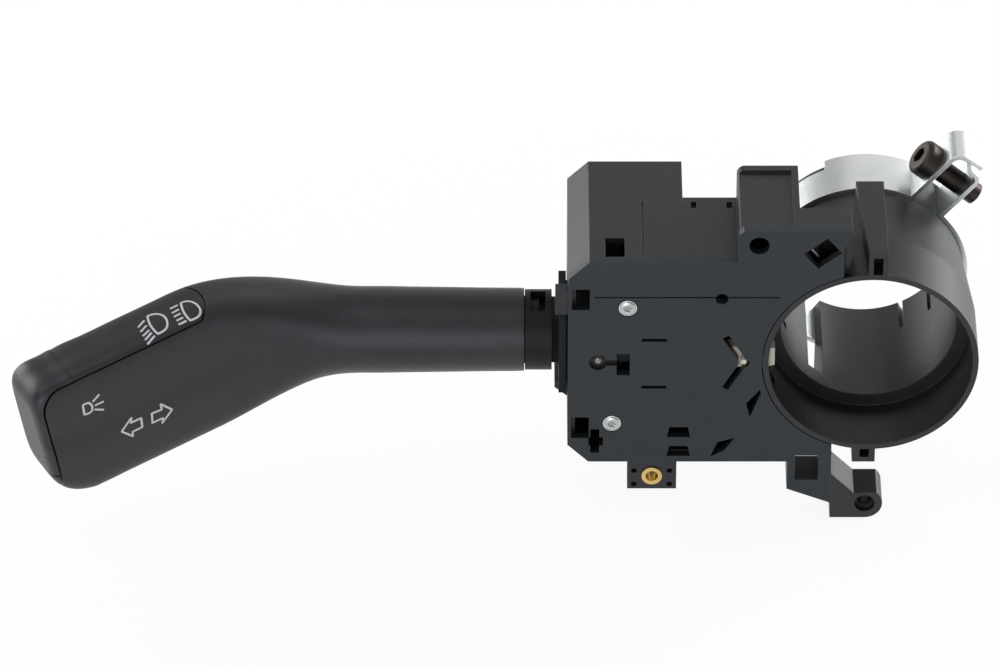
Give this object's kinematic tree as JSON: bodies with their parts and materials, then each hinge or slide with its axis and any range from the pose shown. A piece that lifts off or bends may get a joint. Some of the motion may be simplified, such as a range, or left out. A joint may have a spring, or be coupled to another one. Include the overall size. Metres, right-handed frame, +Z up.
{
  "type": "combination stalk switch",
  "caption": "Steering column combination stalk switch: turn, flash and beam stalk on a contact housing with a clamp collar.",
  "frame": {"origin": "on the steering column's axis, at the shoulder where the clamp sleeve begins, 17.4 mm behind the front rim", "axes": "+X to the driver's right, +Y along the column's axis away from the driver, +Z up"},
  "size_m": [0.2571, 0.0807, 0.094],
  "materials": {
    "black_moulding": "fine grained black moulding",
    "black_cover": "fine grained blue-black moulding",
    "soft_black": "soft touch black",
    "dark_inner": "plain dark moulding",
    "cream_acetal": "natural acetal",
    "amber_board": "phenolic board",
    "zinc_steel": "bright zinc plated",
    "black_steel": "black oxide",
    "plain_steel": "ground steel",
    "brass": "turned brass"
  },
  "bodies": {
    "root": {"housing": "black_moulding", "front_cover": "black_cover", "rear_base": "black_moulding", "contact_plate": "amber_board", "contact_tracks": "brass", "main_blades": "brass", "side_blades": "brass", "cover_screws": "zinc_steel", "base_screws": "zinc_steel", "brass_insert": "brass", "spring_clip": "plain_steel", "clamp_band": "zinc_steel", "clamp_bolt": "black_steel", "detent_cam": "cream_acetal", "beam_guide": "dark_inner", "beam_board": "amber_board", "beam_strips": "brass", "pawl_spring": "plain_steel"},
    "turn_frame": {"rotor": "dark_inner", "rotor_pins": "plain_steel", "dust_shield": "dark_inner", "lever_pin": "plain_steel"},
    "stalk": {"lever_core": "dark_inner", "lever_front_shell": "soft_black", "lever_rear_shell": "soft_black", "lever_cap": "soft_black", "end_blank": "soft_black", "neck_sleeve": "soft_black", "detent_spring": "plain_steel"},
    "plunger": {"detent_plunger": "plain_steel"},
    "turn_carriage": {"turn_slider": "cream_acetal", "turn_bridge": "brass"},
    "beam_carriage": {"beam_slider": "cream_acetal", "beam_bridge": "brass"},
    "pawl": {"cancel_pawl": "cream_acetal"}
  },
  "joints": [
    {"name": "turn_signal_pivot", "type": "hinge", "parent": "root", "child": "turn_frame", "pos_m": [-0.072, -0.0024, 0], "axis": [0, 1, 0], "range_deg": [-12, 12]},
    {"name": "beam_pivot", "type": "hinge", "parent": "turn_frame", "child": "stalk", "pos_m": [-0.072, -0.0024, 0], "axis": [0, 0, 1], "range_deg": [-7, 6], "stiffness_Nm_per_rad": 4},
    {"name": "detent_plunger_slide", "type": "slide", "parent": "stalk", "child": "plunger", "axis": [1, 0, 0], "range_m": [-0.001, 0], "stiffness_N_per_m": 2000, "springref_m": 0.002, "deforming": ["detent_spring"]},
    {"name": "turn_slider_slide", "type": "slide", "parent": "root", "child": "turn_carriage", "axis": [0, 0, 1], "range_m": [-0.0032, 0.0032]},
    {"name": "beam_slider_slide", "type": "slide", "parent": "root", "child": "beam_carriage", "axis": [0, 1, 0], "range_m": [-0.0021, 0.0019]},
    {"name": "cancel_pawl_slide", "type": "slide", "parent": "root", "child": "pawl", "axis": [-0.5, 0, 0.866], "range_m": [0, 0.0045], "stiffness_N_per_m": 300, "springref_m": -0.002, "deforming": ["pawl_spring"]}
  ],
  "couplings": [
    {"joint": "turn_slider_slide", "follows": "turn_signal_pivot", "m_per_rad": -0.014},
    {"joint": "beam_slider_slide", "follows": "beam_pivot", "m_per_rad": 0.015}
  ]
}
